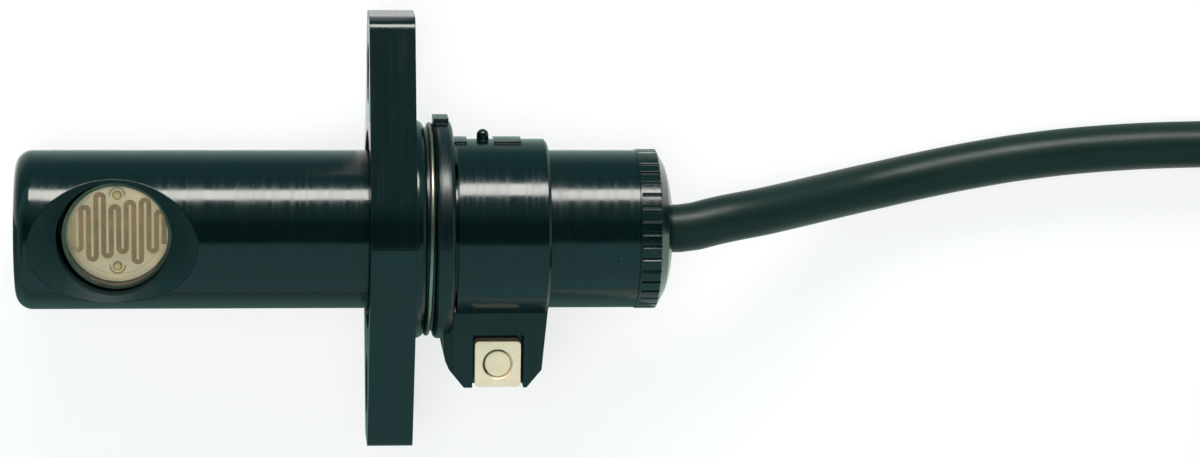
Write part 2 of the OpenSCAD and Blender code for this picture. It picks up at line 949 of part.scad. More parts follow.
// Third turn of the lead, on top of the coil
module cable_tail() {
    color("#22332e")
        swept(tail_route(), cable_r);
}

// Section of the tie's loop round three turns, as distance from the valley and height
module tie_section(r) {
    p = [[-turn_pitch / 2, 0], [turn_pitch / 2, 0], [0, valley_z]];
    polygon(p);
    for (i = [0 : 2]) {
        side = p[(i + 1) % 3] - p[i];
        translate(p[i]) {
            circle(r = r, $fn = 48);
            rotate(atan2(side[1], side[0]))
                translate([0, -r])
                    square([norm(side), r + eps]);
        }
    }
}

// Tie round the coil: a flat strap, its lock and its cut end
module coil_tie() {
    lock = [3.6, 4, 2.2];
    stub = 2.5;
    lock_z = valley_z + cable_r + 2 * tie_clear;
    color("#15181a")
        translate(on_left(tie_angle, valley_r, 0))
            rotate([0, 0, tie_angle]) {
                rotate([90, 0, 0])
                    translate([0, 0, -tie_width / 2])
                        linear_extrude(tie_width)
                            difference() {
                                tie_section(cable_r + tie_t);
                                tie_section(cable_r + tie_clear);
                            }
                translate([-lock[0] / 2, -lock[1] / 2, lock_z])
                    cube(lock);
                translate([-lock[0] / 2 - stub, -tie_width / 2, lock_z + lock[2] / 2])
                    cube([stub + eps, tie_width, tie_t]);
            }
}

// Shrunk sleeve over the end of the sheath
module end_sleeve() {
    color("#1a1a1a")
        translate(by_sleeve(-end_sleeve_length / 2, 0))
            rotate([0, 90, sleeve_angle - 90])
                difference() {
                    cylinder(r = cable_r + end_sleeve_wall, h = end_sleeve_length);
                    translate([0, 0, -eps])
                        cylinder(r = cable_r, h = end_sleeve_length - end_sleeve_lip + eps);
                    cylinder(r = cable_r - 0.35, h = end_sleeve_length + eps);
                }
}

// Points of one free core, from the sheath's end along the top of the coil
function core_points(side) =
    let (
        sleeve_end = end_sleeve_length / 2,
        out = side * core_splay / 2
    )
    [
        by_sleeve(sleeve_end - end_sleeve_lip, side * core_y),
        by_sleeve(sleeve_end + 0.4, side * core_y),
        on_left(angle_past(sleeve_end + 4.5), valley_r + out, core_z),
        on_left(angle_past(sleeve_end + end_core_length - end_sleeve_lip), valley_r + out, core_z),
    ];

// One free core
module end_core(side, tint) {
    color(tint)
        wire(core_points(side), core_r, 2.5 * core_r, [0, 0, 1]);
}

module end_core_left() {
    end_core(1, "#7a4a2c");
}

module end_core_right() {
    end_core(-1, "#2f5f9a");
}

// Crimped metal ferrule on the tip of one core: a wide mouth and a pin
module ferrule(side) {
    p = core_points(side);
    color("#c9cdd0")
        aimed(p[3], 2 * p[3] - p[2]) {
            translate([0, 0, -ferrule_grip])
                difference() {
                    cylinder(r = ferrule_r, h = ferrule_grip + 1);
                    translate([0, 0, -eps])
                        cylinder(r = core_r, h = ferrule_grip + eps);
                }
            cylinder(r = core_r * 0.8, h = ferrule_length);
        }
}

module ferrule_left() {
    ferrule(1);
}

module ferrule_right() {
    ferrule(-1);
}

probe_tube();
cell_can();
cell_base();
cell_glass();
cell_ceramic();
cell_track();
cell_lead_upper();
cell_lead_lower();
crimp_upper();
crimp_lower();
crimp_sleeve_upper();
crimp_sleeve_lower();
inner_core_upper();
inner_core_lower();
cable_inner_end();
cable_bush();
cable_cap();
mounting_flange();
clamp_sleeve();
spring_ring();
clamp_nut();
clamp_screw();
sensor_cable();
cable_coil();
coil_tie();
cable_tail();
end_sleeve();
end_core_left();
end_core_right();
ferrule_left();
ferrule_right();
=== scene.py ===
# Looks for the oil burner light sensor: camera, lead, materials and studio.
# Lengths in the code are in millimetres and turned into metres where Blender needs them.
import math

import bpy
from mathutils import Matrix, Vector


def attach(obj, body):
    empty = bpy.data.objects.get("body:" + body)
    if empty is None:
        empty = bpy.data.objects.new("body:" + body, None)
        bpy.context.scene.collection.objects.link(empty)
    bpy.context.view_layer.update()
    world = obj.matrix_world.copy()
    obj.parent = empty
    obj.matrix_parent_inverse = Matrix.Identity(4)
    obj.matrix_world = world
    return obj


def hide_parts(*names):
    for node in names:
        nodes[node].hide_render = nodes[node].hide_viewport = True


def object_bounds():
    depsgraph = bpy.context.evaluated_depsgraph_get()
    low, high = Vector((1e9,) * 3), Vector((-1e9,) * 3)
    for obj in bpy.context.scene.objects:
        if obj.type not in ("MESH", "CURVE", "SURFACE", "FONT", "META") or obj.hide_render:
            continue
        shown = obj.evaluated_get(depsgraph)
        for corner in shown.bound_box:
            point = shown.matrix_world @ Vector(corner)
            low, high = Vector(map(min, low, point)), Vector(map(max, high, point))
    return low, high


MM = 0.001

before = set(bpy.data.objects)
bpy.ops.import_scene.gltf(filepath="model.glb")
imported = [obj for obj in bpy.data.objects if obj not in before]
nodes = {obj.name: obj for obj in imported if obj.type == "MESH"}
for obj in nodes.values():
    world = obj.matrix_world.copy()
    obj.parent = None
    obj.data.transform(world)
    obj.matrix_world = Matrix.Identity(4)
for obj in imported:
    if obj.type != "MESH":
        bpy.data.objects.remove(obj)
cad_box = [list(corner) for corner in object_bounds()]


def mm(*values):
    """A point given in millimetres, in metres."""
    return Vector([v * MM for v in values])


def place_camera():
    """The photograph's camera: a long lens, 11 degrees above the line of sight to the window."""
    data = bpy.data.cameras.new("camera")
    data.sensor_fit = "HORIZONTAL"
    data.sensor_width = 36
    data.lens = 120.74
    data.clip_start = 0.01
    data.clip_end = 20
    camera = bpy.data.objects.new("camera", data)
    turn = (
        Matrix.Rotation(-0.0931, 4, "Y")
        @ Matrix.Rotation(-0.1910, 4, "X")
        @ Matrix.Rotation(0.0160, 4, "Z")
    )
    camera.matrix_world = Matrix.Translation(mm(-12, 67.97, 350)) @ turn
    bpy.context.scene.collection.objects.link(camera)
    bpy.context.scene.camera = camera


place_camera()

# The lead's route, from the cap to the end of its sheath
CABLE_R = 2.15
CABLE_D = 2 * CABLE_R
CAP_END = 26.9
LIE_Z = -7.85
TIE_T = 0.5
COIL_SIDE = 6.4
COIL_LENGTH = 77
COIL_R = 25.2
TURN_PITCH = 1.02 * CABLE_D
SLEEVE_WALL = 0.35
SLEEVE_LENGTH = 9
SLEEVE_LIP = 2
SLEEVE_ANGLE = math.radians(-205)

COIL_X = CAP_END + COIL_LENGTH
COIL_Y = COIL_SIDE - COIL_R
COIL_Z = LIE_Z + TIE_T
LEFT_Y = COIL_Y - TURN_PITCH / 2
INNER_R = COIL_R - TURN_PITCH
LAST_R = INNER_R - TURN_PITCH
VALLEY_R = INNER_R
VALLEY_Z = 0.872 * CABLE_D
CLIMB_OUT = 1.5 * TURN_PITCH
SLEEVE_R = VALLEY_R - 0.2
SLEEVE_Z = math.sqrt((CABLE_D + SLEEVE_WALL) ** 2 - (TURN_PITCH / 2 - 0.2) ** 2) + 0.02

CABLE_ROUTE = [
    (0, 0, 0), (0.8, 0, 0), (2.2, 0.18, -0.02), (4, 0.58, -0.3), (6, 0.88, -0.9),
    (8.5, 1.14, -1.9), (11.5, 1.5, -3.4), (14.5, 1.88, -4.9), (17.5, 2.3, -6.2),
    (20.5, 2.78, -7.1), (23.5, 3.34, -7.65), (27, 4.02, LIE_Z), (30, 4.57, LIE_Z),
    (33, 5.05, LIE_Z), (38, 5.65, LIE_Z), (44, 6.08, LIE_Z), (50, 6.27, LIE_Z),
    (56, 6.35, LIE_Z), (61, COIL_SIDE, LIE_Z + TIE_T * 0.2),
    (66, COIL_SIDE, LIE_Z + TIE_T * 0.7), (71, COIL_SIDE, LIE_Z + TIE_T),
    (COIL_LENGTH, COIL_SIDE, LIE_Z + TIE_T),
]
CLIMB = [
    (78, 0, 0.005), (60, 0.011, 0.07), (45, 0.018, 0.186), (30, 0.041, 0.349),
    (15, 0.087, 0.535), (0, 0.148, 0.698), (-15, 0.254, 0.849), (-30, 0.406, 0.965),
    (-45, 0.589, 1.023), (-60, 0.771, 1.012), (-75, 0.923, 0.953), (-90, 1, 0.884),
]


def smooth_through(points, step):
    """Points about step apart on a Catmull-Rom curve through the given ones."""
    p = [Vector(q) for q in points]
    p = [p[0] + (p[0] - p[1])] + p + [p[-1] + (p[-1] - p[-2])]
    out = []
    for i in range(1, len(p) - 2):
        a, b, c, d = p[i - 1 : i + 3]
        count = max(1, round((c - b).length / step))
        for k in range(count):
            t = k / count
            out.append(
                0.5
                * (
                    2 * b
                    + (c - a) * t
                    + (2 * a - 5 * b + 4 * c - d) * t**2
                    + (3 * b - a - 3 * c + d) * t**3
                )
            )
    return out + [p[-2]]


def arc(y, r, start, sweep, degrees=5):
    """Points of a turn of the coil, clockwise from start, its first point left out."""
    count = round(sweep / degrees)
    angles = [math.radians(start - sweep * k / count) for k in range(1, count + 1)]
    return [Vector((COIL_X + r * math.cos(a), y + r * math.sin(a), COIL_Z)) for a in angles]


def on_coil(y, degrees, r, z):
    """A point round the coil's middle, at a height above its flat turns."""
    a = math.radians(degrees)
    return Vector((COIL_X + r * math.cos(a), y + r * math.sin(a), COIL_Z + z))


def by_sleeve(along):
    """A point on the sheath's straight end, from the middle of its shrunk sleeve."""
    middle = on_coil(LEFT_Y, math.degrees(SLEEVE_ANGLE), SLEEVE_R, SLEEVE_Z)
    return middle + along * Vector((math.sin(SLEEVE_ANGLE), -math.cos(SLEEVE_ANGLE), 0))


def lead_points():
    """The lead's whole centreline, from the cap to the end of its sheath."""
    points = [
        Vector((CAP_END + q.x, q.y, max(q.z, LIE_Z))) for q in smooth_through(CABLE_ROUTE, 1.2)
    ]
    points += arc(COIL_Y, COIL_R, 90, 180)
    points += arc(LEFT_Y, COIL_R - TURN_PITCH / 2, -90, 180)
    points += arc(COIL_Y, INNER_R, 90, 180)
    points += arc(LEFT_Y, INNER_R - TURN_PITCH / 2, -90, 180)
    top = [on_coil(COIL_Y, 90, LAST_R, 0)]
    top += [on_coil(COIL_Y, a, LAST_R + out * CLIMB_OUT, z * CABLE_D) for a, out, z in CLIMB]
    top += [on_coil(LEFT_Y, a, VALLEY_R, VALLEY_Z) for a in range(-100, -171, -10)]
    top.append(on_coil(LEFT_Y, -180, VALLEY_R + 0.05, (VALLEY_Z + SLEEVE_Z) / 2))
    top += [by_sleeve(d) for d in (-SLEEVE_LENGTH / 2 - 0.6, 0, SLEEVE_LENGTH / 2 - SLEEVE_LIP)]
    return points + smooth_through(top, 1.5)[1:]


def tube_curve(name, points, radius, resolution=6):
    """A round tube along points, as a curve of one open spline."""
    data = bpy.data.curves.new(name, "CURVE")
    data.dimensions = "3D"
    data.bevel_depth = 1
    data.bevel_resolution = resolution
    data.use_fill_caps = True
    spline = data.splines.new("POLY")
    spline.points.add(len(points) - 1)
    for slot, q in zip(spline.points, points):
        slot.co = (q[0] * MM, q[1] * MM, q[2] * MM, 1)
        slot.radius = radius * MM
    spline.use_smooth = True
    piece = bpy.data.objects.new(name, data)
    bpy.context.scene.collection.objects.link(piece)
    return piece


LEAD = lead_points()
lead = tube_curve("lead", LEAD, CABLE_R, 8)
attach(lead, "root")
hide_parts("sensor_cable", "cable_coil", "cable_tail")


class Shader:
    """A node material under construction."""

    def __init__(self, name):
        self.material = bpy.data.materials.new(name)
        self.material.use_nodes = True
        self.tree = self.material.node_tree
        self.tree.nodes.clear()
        self.output = self.add("ShaderNodeOutputMaterial")
        self.coords = self.add("ShaderNodeTexCoord").outputs["Object"]

    def add(self, kind, **settings):
        node = self.tree.nodes.new(kind)
        for key, value in settings.items():
            setattr(node, key, value)
        return node

    def link(self, source, target):
        self.tree.links.new(source, target)

    def feed(self, socket, value):
        """Links a socket, or sets a plain number or colour on it."""
        if isinstance(value, bpy.types.NodeSocket):
            self.link(value, socket)
        elif isinstance(value, tuple) and len(value) == 3:
            socket.default_value = (*value, 1) if len(socket.default_value) == 4 else value
        else:
            socket.default_value = value

    def principled(self, **inputs):
        node = self.add("ShaderNodeBsdfPrincipled")
        for key, value in inputs.items():
            self.feed(node.inputs[key.replace("_", " ")], value)
        self.link(node.outputs[0], self.output.inputs["Surface"])
        return node

    def math(self, operation, a, b=0.0, clamp=False):
        node = self.add("ShaderNodeMath", operation=operation, use_clamp=clamp)
        self.feed(node.inputs[0], a)
        self.feed(node.inputs[1], b)
        return node.outputs[0]

    def length(self, a, b):
        """Length of the vector (a, b)."""
        squares = [self.math("MULTIPLY", side, side) for side in (a, b)]
        return self.math("SQRT", self.math("ADD", *squares))

    def axes(self):
        """X, Y and Z of the object coordinates, in metres."""
        node = self.add("ShaderNodeSeparateXYZ")
        self.link(self.coords, node.inputs[0])
        return node.outputs

    def scaled(self, x, y, z):
        """Object coordinates stretched by a factor along each axis."""
        node = self.add("ShaderNodeMapping")
        self.link(self.coords, node.inputs["Vector"])
        node.inputs["Scale"].default_value = (x, y, z)
        return node.outputs[0]

    def noise(self, size, detail=2.0, rough=0.5, vector=None):
        """Noise with features about size millimetres across."""
        node = self.add("ShaderNodeTexNoise")
        self.link(vector or self.coords, node.inputs["Vector"])
        node.inputs["Scale"].default_value = 1 / (size * MM)
        node.inputs["Detail"].default_value = detail
        node.inputs["Roughness"].default_value = rough
        return node.outputs["Fac"]

    def span(self, value, low, high, to_low=0.0, to_high=1.0, smooth=False):
        """Maps a value's range onto another and clamps it."""
        node = self.add("ShaderNodeMapRange", clamp=True)
        if smooth:
            node.interpolation_type = "SMOOTHSTEP"
        self.link(value, node.inputs["Value"])
        for key, number in (
            ("From Min", low), ("From Max", high), ("To Min", to_low), ("To Max", to_high),
        ):
            node.inputs[key].default_value = number
        return node.outputs[0]

    def mix(self, factor, a, b):
        node = self.add("ShaderNodeMix", data_type="RGBA")
        self.feed(node.inputs["Factor"], factor)
        self.feed(node.inputs["A"], a)
        self.feed(node.inputs["B"], b)
        return node.outputs["Result"]

    def specks(self, cell, size, share):
        """1 on small round specks, in a share of cells that are cell millimetres wide."""
        node = self.add("ShaderNodeTexVoronoi")
        self.link(self.coords, node.inputs["Vector"])
        node.inputs["Scale"].default_value = 1 / (cell * MM)
        near = self.span(node.outputs["Distance"], size / cell, 0.6 * size / cell)
        red = self.add("ShaderNodeSeparateColor")
        self.link(node.outputs["Color"], red.inputs[0])
        return self.math("MULTIPLY", near, self.math("LESS_THAN", red.outputs[0], share))

    def bump(self, height, distance, strength=1.0, normal=None):
        node = self.add("ShaderNodeBump")
        self.link(height, node.inputs["Height"])
        node.inputs["Distance"].default_value = distance * MM
        node.inputs["Strength"].default_value = strength
        if normal is not None:
            self.link(normal, node.inputs["Normal"])
        return node.outputs[0]

    def worn_edge(self, radius):
        """The normal with edges rounded by a radius in millimetres."""
        node = self.add("ShaderNodeBevel", samples=6)
        node.inputs["Radius"].default_value = radius * MM
        return node.outputs[0]


# Places on the object that its materials follow
TUBE_R = 7
WINDOW_X = -22.2
WINDOW_R = 7.45
COLLAR_FRONT = 5
COLLAR_BACK = 7.5
CELL_X = -21.95
TERMINAL_Y = 3.2
THREAD_X = 11.43
THREAD_Y = -11.4
THREAD_R = 1.25


def dress(name, material):
    """Gives a CAD node or a piece one material."""
    piece = nodes.get(name) or bpy.data.objects[name]
    if not piece.material_slots:
        piece.data.materials.append(material)
    for slot in piece.material_slots:
        slot.material = material


def housing_plastic(name, seam=False, window=False):
    """Glossy moulded plastic, nearly black with green in it.

    seam adds a parting line and a duller collar; window makes the inside of the window rougher and
    satin, and paints it lighter as painted light.
    """
    s = Shader(name)
    cloud = s.noise(14, 3, 0.55)
    grain = s.noise(0.35, 3, 0.6)
    lines = s.noise(0.3, 3, 0.65, s.scaled(1, 0.03, 0.03))
    bands = s.noise(3, 2, 0.5, s.scaled(1, 0.15, 0.15))
    tone = s.mix(s.span(cloud, 0.35, 0.65), (0.0003, 0.0030, 0.0033), (0.0005, 0.0040, 0.0044))
    tone = s.mix(s.span(grain, 0.3, 0.8, 0, 0.35), tone, (0.0009, 0.0055, 0.0058))
    dust = s.specks(2.4, 0.07, 0.22)
    lint = s.specks(7.0, 0.14, 0.10)
    marks = s.math("MAXIMUM", dust, lint)
    colour = s.mix(marks, tone, (0.11, 0.14, 0.135))
    rough = s.span(s.noise(5, 4, 0.6), 0.3, 0.7, 0.10, 0.145)
    rough = s.math("ADD", rough, s.span(lines, 0.4, 0.7, 0, 0.1))
    rough = s.math("ADD", rough, s.math("MULTIPLY", marks, 0.4))
    height = s.math("ADD", s.noise(2.6, 2, 0.5), s.math("MULTIPLY", grain, 0.06))
    height = s.math("ADD", height, s.math("MULTIPLY", lines, 0.3))
    height = s.math("ADD", height, s.math("MULTIPLY", bands, 0.9))
    normal = s.worn_edge(0.13)
    if seam:
        x, y, _ = s.axes()
        near = s.span(s.math("ABSOLUTE", y), 0.09 * MM, 0.03 * MM)
        front = s.math("LESS_THAN", x, COLLAR_BACK * MM)
        height = s.math("ADD", height, s.math("MULTIPLY", near, front))
        collar = s.math("MULTIPLY", front, s.math("GREATER_THAN", x, COLLAR_FRONT * MM))
        rough = s.math("ADD", rough, s.math("MULTIPLY", collar, 0.13))
    if window:
        x, y, z = s.axes()
        under = s.math("LESS_THAN", s.length(y, z), (TUBE_R - 0.07) * MM)
        off_window = s.length(s.math("SUBTRACT", x, WINDOW_X * MM), y)
        inside = s.math("MULTIPLY", under, s.math("LESS_THAN", off_window, WINDOW_R * MM))
        # partly painted light: the recess gets a lighter colour as well as its rougher satin finish
        satin_and_painted_light = s.mix(grain, (0.0035, 0.0140, 0.0145), (0.0055, 0.0185, 0.0190))
        colour = s.mix(inside, colour, satin_and_painted_light)
        rough = s.math("ADD", rough, s.math("MULTIPLY", inside, 0.32))
    s.principled(
        Base_Color=colour,
        Roughness=rough,
        IOR=1.5,
        Normal=s.bump(height, 0.012, 1.0, normal),
    )
    return s.material


def sheath_plastic():
    """Smooth extruded sheath, softer in gloss than the housing."""
    s = Shader("sheath")
    tone = s.mix(s.noise(11, 3, 0.6), (0.0030, 0.0100, 0.0085), (0.0050, 0.0145, 0.0120))
    streak = s.noise(1.1, 3, 0.6, s.scaled(0.08, 1, 1))
    dust = s.specks(3.0, 0.08, 0.25)
    colour = s.mix(s.math("MULTIPLY", dust, 0.8), tone, (0.10, 0.12, 0.11))
    rough = s.span(streak, 0.3, 0.7, 0.34, 0.42)
    height = s.math("ADD", s.noise(0.22, 3, 0.6), s.math("MULTIPLY", streak, 1.4))
    s.principled(
        Base_Color=colour, Roughness=rough, IOR=1.34, Normal=s.bump(height, 0.012, 0.7)
    )
    return s.material


def plain_plastic(name, low, high, rough, grain, depth=0.01):
    """A plastic or rubber with mottled tone and fine grain."""
    s = Shader(name)
    colour = s.mix(s.noise(3, 4, 0.6), low, high)
    texture = s.noise(grain, 3, 0.6)
    s.principled(
        Base_Color=colour,
        Roughness=s.span(texture, 0.3, 0.7, rough, rough + 0.12),
        IOR=1.5,
        Normal=s.bump(texture, depth, 0.8, s.worn_edge(0.06)),
    )
    return s.material


housing = housing_plastic("housing")
housing_window = housing_plastic("housing_window", window=True)
housing_seam = housing_plastic("housing_seam", seam=True)
sheath = sheath_plastic()
shrink = plain_plastic("shrink_sleeve", (0.006, 0.006, 0.007), (0.011, 0.011, 0.012), 0.45, 0.3)
rubber = plain_plastic("bush_rubber", (0.01, 0.01, 0.01), (0.018, 0.018, 0.017), 0.6, 0.15)
nylon = plain_plastic("tie_nylon", (0.006, 0.007, 0.008), (0.012, 0.013, 0.014), 0.32, 0.5)
brown = plain_plastic("core_brown", (0.10, 0.036, 0.014), (0.13, 0.050, 0.020), 0.3, 0.4)
blue = plain_plastic("core_blue", (0.016, 0.055, 0.19), (0.022, 0.075, 0.24), 0.3, 0.4)


def metal(name, low, high, rough, shine=1.0, stretch=(1, 1, 1), grain=0.12, edge=0.05, shaded_thread=False):
    """Plated or drawn metal with fine grain and faint tarnish, and a painted shadow on the upper
    left of the edge round the clamp's thread.
    """
    s = Shader(name)
    tarnish = s.noise(2, 4, 0.65)
    colour = s.mix(s.span(tarnish, 0.35, 0.7), high, low)
    if shaded_thread:
        # painted shadow: a dark brown arc on the upper left of the thread's edge, where the hole's
        # rim is shaded, broken up by the tarnish
        x, y, _ = s.axes()
        across = s.math("SUBTRACT", x, THREAD_X * MM)
        up = s.math("SUBTRACT", y, THREAD_Y * MM)
        off = s.math("ABSOLUTE", s.math("SUBTRACT", s.length(across, up), THREAD_R * MM))
        lean = s.math("SUBTRACT", s.math("MULTIPLY", up, 0.7), across)
        thread_shadow = s.math(
            "MULTIPLY", s.span(off, 0.13 * MM, 0.05 * MM), s.span(lean, -0.5 * MM, 0.5 * MM)
        )
        thread_shadow = s.math("MULTIPLY", thread_shadow, s.span(tarnish, 0.2, 0.45, 0.5, 1))
        colour = s.mix(thread_shadow, colour, (0.035, 0.032, 0.022))
    lines = s.noise(grain, 3, 0.6, s.scaled(*stretch))
    roughness = s.span(lines, 0.3, 0.7, rough, rough + 0.14)
    roughness = s.math("ADD", roughness, s.math("MULTIPLY", tarnish, 0.08))
    s.principled(
        Base_Color=colour,
        Metallic=shine,
        Roughness=roughness,
        Normal=s.bump(lines, 0.006, 0.6, s.worn_edge(edge)),
    )
    return s.material


def clear_glass():
    """The thin window of the cell: see-through, with only its gloss on it."""
    s = Shader("clear_glass")
    clear = s.add("ShaderNodeBsdfTransparent")
    clear.inputs["Color"].default_value = (0.965, 0.955, 0.925, 1)
    gloss = s.add("ShaderNodeBsdfGlossy")
    gloss.inputs["Roughness"].default_value = 0.04
    smear = s.bump(s.noise(1.8, 3, 0.6), 0.004, 0.5)
    s.link(smear, gloss.inputs["Normal"])
    fresnel = s.add("ShaderNodeFresnel")
    fresnel.inputs["IOR"].default_value = 1.45
    mixed = s.add("ShaderNodeMixShader")
    s.link(fresnel.outputs[0], mixed.inputs[0])
    s.link(clear.outputs[0], mixed.inputs[1])
    s.link(gloss.outputs[0], mixed.inputs[2])
    s.link(mixed.outputs[0], s.output.inputs["Surface"])
    return s.material


def ceramic():
    """Fired ivory disc under clear lacquer.

    It is browner where the track is printed, with a faint ring near its edge, stains round its
    wires and painted shade in the gap right round each wire.
    """
    s = Shader("ceramic")
    x, y, _ = s.axes()
    across = s.math("SUBTRACT", x, CELL_X * MM)

    def ring(centre, radius, half_width):
        """1 on a ring round a point of the disc's middle line, and the height above that point."""
        up = s.math("SUBTRACT", y, centre * MM)
        off = s.math("ABSOLUTE", s.math("SUBTRACT", s.length(across, up), radius * MM))
        return s.span(off, half_width * MM, 0.4 * half_width * MM), up

    tone = s.mix(s.span(s.noise(1.9, 4, 0.6), 0.38, 0.62), (0.65, 0.59, 0.42), (0.80, 0.66, 0.45))
    tone = s.mix(s.span(s.noise(0.16, 3, 0.6), 0.35, 0.8, 0, 0.35), tone, (0.58, 0.49, 0.35))
    printed = s.span(s.math("ABSOLUTE", y), 3.0 * MM, 2.0 * MM, 0, 0.5)
    tone = s.mix(printed, tone, (0.50, 0.385, 0.205))
    stain = s.span(across, -3.6 * MM, -4.3 * MM)
    tone = s.mix(s.math("MULTIPLY", stain, 0.45), tone, (0.44, 0.36, 0.20))
    rim, _ = ring(0, 3.92, 0.09)
    tone = s.mix(s.math("MULTIPLY", rim, 0.35), tone, (0.30, 0.28, 0.20))
    for side in (1, -1):
        meniscus, up = ring(side * TERMINAL_Y, 0.66, 0.12)
        outer = s.span(s.math("MULTIPLY", up, side), -0.25 * MM, 0.1 * MM, 0, 0.85)
        tone = s.mix(s.math("MULTIPLY", meniscus, outer), tone, (0.20, 0.16, 0.055))
        # painted shade: a dark ring in the gap right round each wire
        wire_gap_shade, _ = ring(side * TERMINAL_Y, 0.36, 0.11)
        tone = s.mix(s.math("MULTIPLY", wire_gap_shade, 0.8), tone, (0.13, 0.10, 0.04))
    s.principled(
        Base_Color=tone,
        Roughness=0.5,
        Coat_Weight=0.25,
        Coat_Roughness=0.15,
        Normal=s.bump(s.noise(0.22, 3, 0.6), 0.008, 0.6),
    )
    return s.material


def light_track():
    """Baked brown light-sensitive print, thin and pale in its first leg."""
    s = Shader("light_track")
    x = s.axes()["X"]
    fade = s.span(x, (CELL_X - 3.25) * MM, (CELL_X - 3.6) * MM, 0, 0.72)
    tone = s.mix(s.span(s.noise(1.4, 4, 0.6), 0.38, 0.62), (0.22, 0.152, 0.068), (0.35, 0.21, 0.090))
    tone = s.mix(s.span(s.noise(0.1, 3, 0.7), 0.4, 0.8, 0, 0.4), tone, (0.19, 0.135, 0.085))
    s.principled(
        Base_Color=s.mix(fade, tone, (0.50, 0.42, 0.24)),
        Roughness=0.6,
        Coat_Weight=0.2,
        Coat_Roughness=0.2,
        Normal=s.bump(s.noise(0.12, 3, 0.6), 0.01, 0.7),
    )
    return s.material


can_metal = metal("can_metal", (0.11, 0.085, 0.06), (0.20, 0.16, 0.12), 0.2)
header_metal = metal("header_metal", (0.30, 0.29, 0.25), (0.42, 0.41, 0.35), 0.4)
terminal_metal = metal("terminal_wire", (0.60, 0.38, 0.13), (0.85, 0.58, 0.24), 0.26, 0.5)
crimp_metal = metal("crimp_metal", (0.45, 0.38, 0.20), (0.60, 0.52, 0.30), 0.35)
spring_steel = metal("spring_steel", (0.22, 0.185, 0.145), (0.36, 0.31, 0.25), 0.22)
nickel = metal(
    "nickel_nut", (0.72, 0.57, 0.405), (0.81, 0.66, 0.485), 0.48, 0.5, (1, 0.2, 1), 0.16, 0.09, True
)
nickel_tip = metal(
    "nickel_screw", (0.69, 0.55, 0.38), (0.79, 0.64, 0.465), 0.48, 0.5, grain=0.1, shaded_thread=True
)
ferrule_metal = metal("ferrule_metal", (0.58, 0.58, 0.56), (0.78, 0.78, 0.76), 0.3)

for name, material in {
    "probe_tube": housing_window,
    "cable_cap": housing,
    "mounting_flange": housing_seam,
    "clamp_sleeve": housing_seam,
    "cell_can": can_metal,
    "cell_base": header_metal,
    "cell_glass": clear_glass(),
    "cell_ceramic": ceramic(),
    "cell_track": light_track(),
    "cell_lead_upper": terminal_metal,
    "cell_lead_lower": terminal_metal,
    "crimp_upper": crimp_metal,
    "crimp_lower": crimp_metal,
    "crimp_sleeve_upper": shrink,
    "crimp_sleeve_lower": shrink,
    "inner_core_upper": brown,
    "inner_core_lower": blue,
    "cable_inner_end": sheath,
    "cable_bush": rubber,
    "spring_ring": spring_steel,
    "clamp_nut": nickel,
    "clamp_screw": nickel_tip,
    "lead": sheath,
    "coil_tie": nylon,
    "end_sleeve": shrink,
    "end_core_left": brown,
    "end_core_right": blue,
    "ferrule_left": ferrule_metal,
    "ferrule_right": ferrule_metal,
}.items():
    dress(name, material)


# The studio
FLOOR_GLOW = 0.72
FLOOR_SEEN = (0.24, 0.24, 0.24)
FLAG_NEAR = 12
FLAG_FAR = 26


def card(name, corners, material):
    """A flat four-cornered stage card."""
    mesh = bpy.data.meshes.new(name)
    mesh.from_pydata([mm(*c) for c in corners], [], [range(len(corners))])
    piece = bpy.data.objects.new(name, mesh)
    piece.data.materials.append(material)
    bpy.context.scene.collection.objects.link(piece)
    return piece


def level(x, y, z):
    """Corners of a level rectangle over two ranges, at height z."""
    return [(x[0], y[0], z), (x[1], y[0], z), (x[1], y[1], z), (x[0], y[1], z)]


def floor_material():
    """White to the eye and in reflections, with the object's shadow kept; pale to other light."""
    s = Shader("floor")
    paths = s.add("ShaderNodeLightPath")
    seen = s.math(
        "ADD", paths.outputs["Is Camera Ray"],
        s.math("ADD", paths.outputs["Is Glossy Ray"], paths.outputs["Is Transmission Ray"]), True,
    )
    diffuse = s.add("ShaderNodeBsdfDiffuse")
    s.link(s.mix(seen, (0.8, 0.8, 0.8), FLOOR_SEEN), diffuse.inputs["Color"])
    glow = s.add("ShaderNodeEmission")
    glow.inputs["Color"].default_value = (1, 1, 1, 1)
    s.link(s.math("MULTIPLY", seen, FLOOR_GLOW), glow.inputs["Strength"])
    both = s.add("ShaderNodeAddShader")
    s.link(diffuse.outputs[0], both.inputs[0])
    s.link(glow.outputs[0], both.inputs[1])
    s.link(both.outputs[0], s.output.inputs["Surface"])
    return s.material


def flag_material(name, colour, near=None):
    """A glowing card that stands in for a studio flag: its colour, and another one next to the
    object that paints the floor's light and contact shadow there into reflections.
    """
    s = Shader(name)
    dark, pale = (tuple(share * c for c in colour) for share in (0.9, 1.1))
    card_glow = s.mix(s.noise(60, 3, 0.6), dark, pale)
    if near:
        off = s.math("ABSOLUTE", s.axes()["Y"])
        card_glow = s.mix(s.span(off, FLAG_NEAR * MM, FLAG_FAR * MM), near, card_glow)
    glow = s.add("ShaderNodeEmission")
    s.link(card_glow, glow.inputs["Color"])
    s.link(glow.outputs[0], s.output.inputs["Surface"])
    return s.material


def area_light(name, centre, target, width, height, radiance):
    """A soft box of the given radiance, in which 1 is white."""
    data = bpy.data.lights.new(name, "AREA")
    data.shape = "RECTANGLE"
    data.size = width * MM
    data.size_y = height * MM
    data.energy = radiance * math.pi * data.size * data.size_y
    piece = bpy.data.objects.new(name, data)
    turn = (mm(*target) - mm(*centre)).to_track_quat("-Z", "Y")
    piece.matrix_world = Matrix.Translation(mm(*centre)) @ turn.to_matrix().to_4x4()
    piece.visible_camera = False
    bpy.context.scene.collection.objects.link(piece)
    return piece


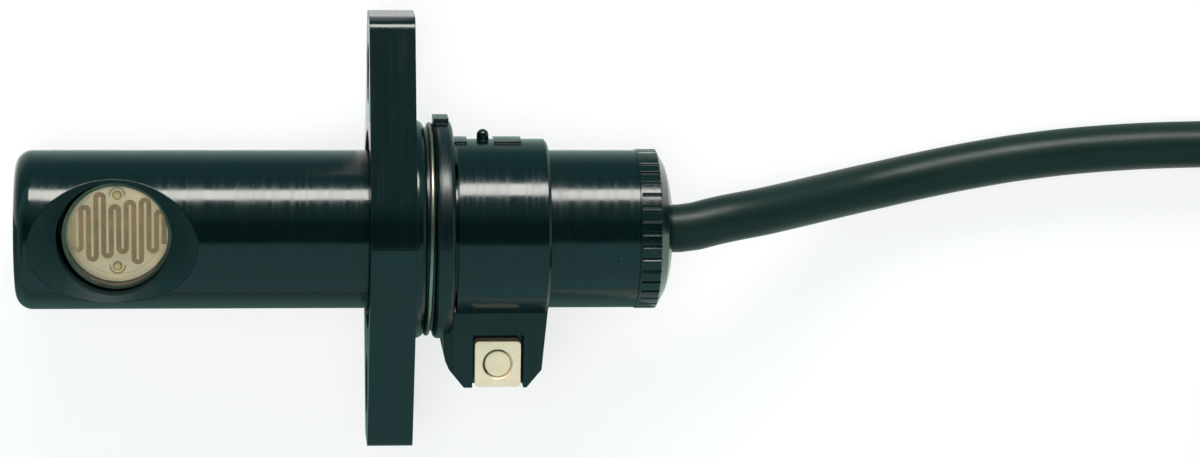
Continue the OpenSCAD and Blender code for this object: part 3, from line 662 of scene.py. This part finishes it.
def set_world():
    """A studio round the object: pale at the horizon, dark overhead, a little lighter behind."""
    world = bpy.data.worlds.new("studio")
    bpy.context.scene.world = world
    world.use_nodes = True
    tree = world.node_tree
    tree.nodes.clear()
    coords = tree.nodes.new("ShaderNodeTexCoord")
    parts = tree.nodes.new("ShaderNodeSeparateXYZ")
    total = tree.nodes.new("ShaderNodeMath")
    back = tree.nodes.new("ShaderNodeBackground")
    out = tree.nodes.new("ShaderNodeOutputWorld")
    tree.links.new(coords.outputs["Generated"], parts.inputs[0])
    for i, (axis, start, end, at_start, at_end) in enumerate((
        ("Z", 0.1, 0.8, 0.6, 0.04), ("Y", 0.25, 0.6, 0.0, 0.26),
    )):
        ramp = tree.nodes.new("ShaderNodeMapRange")
        ramp.interpolation_type = "SMOOTHSTEP"
        ramp.inputs["From Min"].default_value = start
        ramp.inputs["From Max"].default_value = end
        ramp.inputs["To Min"].default_value = at_start
        ramp.inputs["To Max"].default_value = at_end
        tree.links.new(parts.outputs[axis], ramp.inputs["Value"])
        tree.links.new(ramp.outputs[0], total.inputs[i])
    back.inputs["Color"].default_value = (0.45, 1, 1, 1)
    tree.links.new(total.outputs[0], back.inputs["Strength"])
    tree.links.new(back.outputs[0], out.inputs["Surface"])


REST_Z = cad_box[0][2] / MM
FLAG_Z = REST_Z + 0.3
card("floor", level((-2500, 2500), (-2500, 2500), REST_Z), floor_material())

# Tinted flags that only reflections see
dusk = flag_material("flag_back", (0.12, 0.34, 0.37))
# Each flag's second colour paints the floor next to the object into reflections: lit floor on
# flag_low and flag_by_lead, the object's contact shadow on flag_front_low
low = flag_material("flag_low", (0.13, 0.33, 0.34), (0.5, 0.72, 0.66))
front_low = flag_material("flag_front_low", (0.20, 0.40, 0.38), (0.09, 0.18, 0.15))
by_lead = flag_material("flag_by_lead", (0.62, 0.82, 0.72), (0.70, 0.94, 0.80))
front = flag_material("flag_front", (0.34, 0.74, 0.74))
for name, corners, card_glow in (
    ("flag_back", [(-400, 130, FLAG_Z), (500, 130, FLAG_Z), (500, 130, 36), (-400, 130, 36)], dusk),
    ("flag_low_left", level((-400, -0.6), (8, 130), FLAG_Z), low),
    ("flag_low_right", level((4.8, 500), (8, 130), FLAG_Z), low),
    ("flag_front_low", level((-400, CAP_END), (-500, 0), FLAG_Z), front_low),
    ("flag_by_lead", level((CAP_END, 500), (-500, 0), FLAG_Z), by_lead),
    ("flag_front", [(-500, -500, 60), (600, -500, 60), (600, -85, 500), (-500, -85, 500)], front),
):
    flag = card(name, corners, card_glow)
    flag.visible_camera = False
    flag.visible_diffuse = False
    flag.visible_transmission = False
    flag.visible_shadow = False

area_light("key", (45, 351, 191), (10, 0, 0), 300, 110, 15.5).data.color = (1, 0.985, 0.92)
area_light("fill", (10, -400, 290), (10, 0, 0), 700, 420, 0.4).visible_glossy = False
area_light("front", (-60, 30, 430), (-15, 0, 0), 240, 240, 8.5).visible_glossy = False
set_world()
bpy.context.scene.view_settings.view_transform = "Standard"

bpy.context.view_layer.update()
